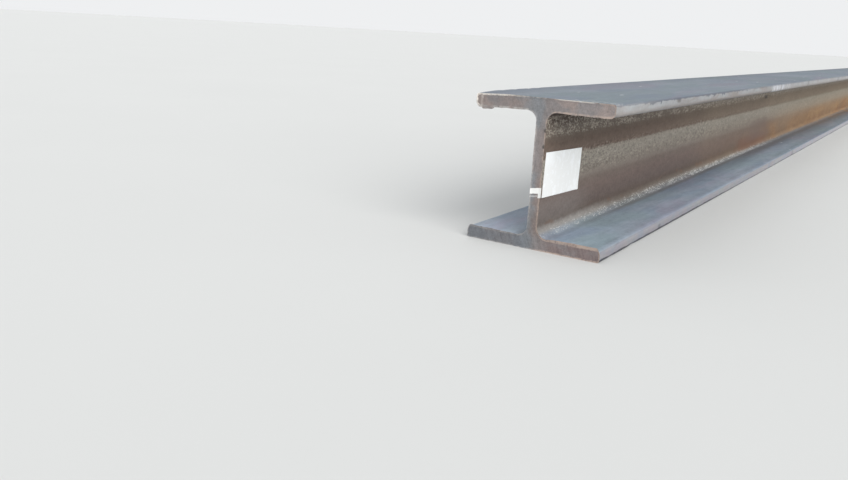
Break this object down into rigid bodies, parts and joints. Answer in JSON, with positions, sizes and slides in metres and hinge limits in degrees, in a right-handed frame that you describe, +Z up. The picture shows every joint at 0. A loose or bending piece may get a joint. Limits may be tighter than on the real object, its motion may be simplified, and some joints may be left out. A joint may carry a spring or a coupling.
{
  "type": "steel i-beam",
  "caption": "Hot rolled wide-flange steel beam in one stock length, sawn square, with mill scale, light rust and a blank white label on the web.",
  "frame": {"origin": "on the plane that the bottom flange rests on, under the middle of the beam's length and width", "axes": "+X along the beam from the labelled end to the far end, +Y across the flanges towards the side without the label, +Z up"},
  "size_m": [6.096, 0.103, 0.106],
  "materials": {
    "rolled_steel": "hot rolled mill scale with patches of light rust, sawn ends",
    "label_paper": "matt white, blank"
  },
  "bodies": {
    "root": {"i_beam": "rolled_steel", "paper_label": "label_paper"}
  },
  "joints": []
}
